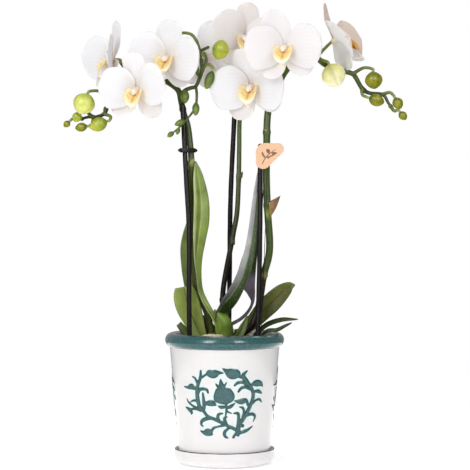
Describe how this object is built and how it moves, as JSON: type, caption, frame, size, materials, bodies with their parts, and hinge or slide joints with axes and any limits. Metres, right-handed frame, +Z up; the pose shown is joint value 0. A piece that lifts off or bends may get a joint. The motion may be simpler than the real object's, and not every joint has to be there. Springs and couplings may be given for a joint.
{
  "type": "potted orchid",
  "caption": "Potted moth orchid: white flowers on arching stems tied to black stakes, strap leaves, in a white glazed pot with a teal rolled rim, on a saucer.",
  "frame": {"origin": "middle of the saucer's flat underside, under the pot's axis", "axes": "+Z up along the pot's axis, the plant's front faces -Y, its long right arch reaches towards +X"},
  "size_m": [0.3169, 0.115, 0.4266],
  "materials": {
    "white_glaze": "glossy white glaze; the pot's rim and raised pattern are teal in the visual model",
    "grow_pot_plastic": "thin clear plastic, shown as plain",
    "pine_bark": "rough bark chips",
    "leaf_green": "waxy leaf",
    "stem_green": "smooth green stem",
    "bud_green": "smooth pale green bud",
    "white_petal": "soft white petal",
    "lip_yellow": "waxy yellow with orange marks",
    "black_plastic": "satin black plastic",
    "tag_card": "matt peach card"
  },
  "bodies": {
    "root": {"saucer": "white_glaze", "pot": "white_glaze", "grow_pot": "grow_pot_plastic", "bark_medium": "pine_bark", "crown": "leaf_green", "stake_left": "black_plastic", "stake_middle": "black_plastic", "stake_right": "black_plastic", "leaf_tall_left": "leaf_green", "leaf_back_left": "leaf_green", "leaf_broad_left": "leaf_green", "leaf_small_left": "leaf_green", "leaf_dark_left": "leaf_green", "leaf_tall_right": "leaf_green", "leaf_back_right": "leaf_green", "leaf_broad_right": "leaf_green", "leaf_low_right": "leaf_green", "leaf_low_front": "leaf_green", "leaf_front_right": "leaf_green", "spike_left": "stem_green", "spike_middle": "stem_green", "spike_right": "stem_green", "bud_left_1": "bud_green", "bud_left_2": "bud_green", "bud_left_3": "bud_green", "bud_left_4": "bud_green", "bud_left_5": "bud_green", "bud_centre": "bud_green", "bud_right_1": "bud_green", "bud_right_2": "bud_green", "bud_right_3": "bud_green", "bud_right_4": "bud_green", "bud_right_5": "bud_green", "flower_1_sepals": "white_petal", "flower_1_petals": "white_petal", "flower_1_lip": "lip_yellow", "flower_2_sepals": "white_petal", "flower_2_petals": "white_petal", "flower_2_lip": "lip_yellow", "flower_3_sepals": "white_petal", "flower_3_petals": "white_petal", "flower_3_lip": "lip_yellow", "flower_4_sepals": "white_petal", "flower_4_petals": "white_petal", "flower_4_lip": "lip_yellow", "flower_5_sepals": "white_petal", "flower_5_petals": "white_petal", "flower_5_lip": "lip_yellow", "flower_6_sepals": "white_petal", "flower_6_petals": "white_petal", "flower_6_lip": "lip_yellow", "flower_7_sepals": "white_petal", "flower_7_petals": "white_petal", "flower_7_lip": "lip_yellow", "flower_8_sepals": "white_petal", "flower_8_petals": "white_petal", "flower_8_lip": "lip_yellow", "clip_left": "black_plastic", "clip_right": "black_plastic", "tag": "tag_card"}
  },
  "joints": []
}
